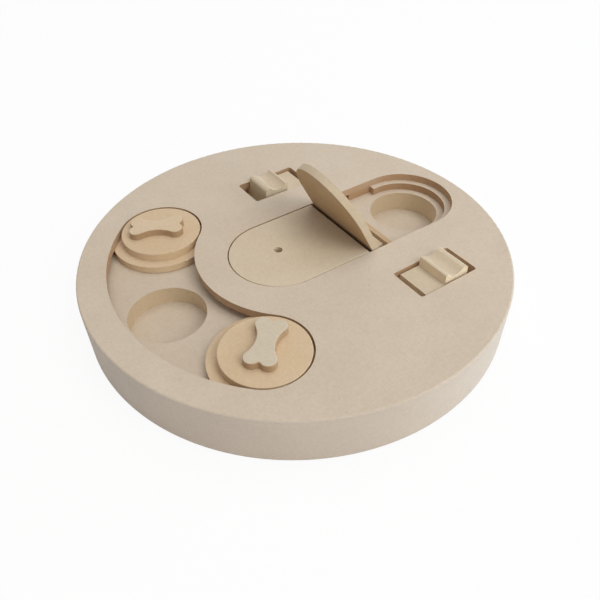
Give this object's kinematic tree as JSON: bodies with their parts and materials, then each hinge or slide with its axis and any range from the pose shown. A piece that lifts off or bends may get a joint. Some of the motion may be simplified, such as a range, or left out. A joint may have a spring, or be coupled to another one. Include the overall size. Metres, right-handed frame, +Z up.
{
  "type": "dog puzzle feeder toy",
  "caption": "Round wooden dog puzzle feeder with bone-knob discs in a curved track, flip lids over a long recess and sliding grip blocks over treat pockets.",
  "frame": {"origin": "centre of the round underside", "axes": "+X along the long recess towards the open well, +Y towards the rear grip block, +Z up out of the deck"},
  "size_m": [0.29, 0.29, 0.0896],
  "materials": {
    "board_mdf": "matt sanded MDF",
    "knob_mdf": "matt sanded MDF, warmer",
    "lid_mdf": "matt sanded MDF",
    "block_mdf": "matt sanded MDF",
    "pin_steel": "plain"
  },
  "bodies": {
    "base": {"base_board": "board_mdf", "middle_board": "board_mdf", "top_board": "board_mdf"},
    "front_glide": {"front_flange": "knob_mdf"},
    "front_knob": {"front_disc": "knob_mdf", "front_bone": "knob_mdf", "front_screw": "pin_steel"},
    "back_glide": {"back_flange": "knob_mdf"},
    "back_knob": {"back_disc": "knob_mdf", "back_bone": "knob_mdf", "back_screw": "pin_steel"},
    "left_lid": {"left_lid_plate": "lid_mdf", "left_lid_bar": "lid_mdf", "left_lid_pin": "pin_steel"},
    "right_slider": {"right_lid_slider": "lid_mdf", "right_lid_pin": "pin_steel"},
    "right_lid": {"right_lid_plate": "lid_mdf", "right_lid_knuckle": "lid_mdf"},
    "front_block": {"front_block_grip": "block_mdf", "front_block_foot": "block_mdf"},
    "rear_block": {"rear_block_grip": "block_mdf", "rear_block_foot": "block_mdf"}
  },
  "joints": [
    {"name": "front_disc_travel", "type": "hinge", "parent": "base", "child": "front_glide", "pos_m": [0, 0, 0.0292], "axis": [0, 0, 1], "range_deg": [-46, 0]},
    {"name": "front_disc_turn", "type": "hinge", "parent": "front_glide", "child": "front_knob", "pos_m": [-0.06738, -0.06978, 0.0347], "axis": [0, 0, 1], "continuous": true},
    {"name": "back_disc_travel", "type": "hinge", "parent": "base", "child": "back_glide", "pos_m": [0, 0, 0.0292], "axis": [0, 0, 1], "range_deg": [0, 46]},
    {"name": "back_disc_turn", "type": "hinge", "parent": "back_glide", "child": "back_knob", "pos_m": [-0.06738, 0.06978, 0.0347], "axis": [0, 0, 1], "continuous": true},
    {"name": "left_lid_flip", "type": "hinge", "parent": "base", "child": "left_lid", "pos_m": [0.0351, 0, 0.0337], "axis": [0, 1, 0], "range_deg": [0, 60]},
    {"name": "right_lid_slide", "type": "slide", "parent": "base", "child": "right_slider", "axis": [1, 0, 0], "range_m": [0, 0.0114]},
    {"name": "right_lid_flip", "type": "hinge", "parent": "right_slider", "child": "right_lid", "pos_m": [0.0531, 0, 0.0293], "axis": [0, 1, 0], "range_deg": [0, 117.2]},
    {"name": "front_block_slide", "type": "slide", "parent": "base", "child": "front_block", "axis": [1, 0, 0], "range_m": [-0.0049, 0.0068]},
    {"name": "rear_block_slide", "type": "slide", "parent": "base", "child": "rear_block", "axis": [1, 0, 0], "range_m": [-0.0091, 0.0026]}
  ]
}
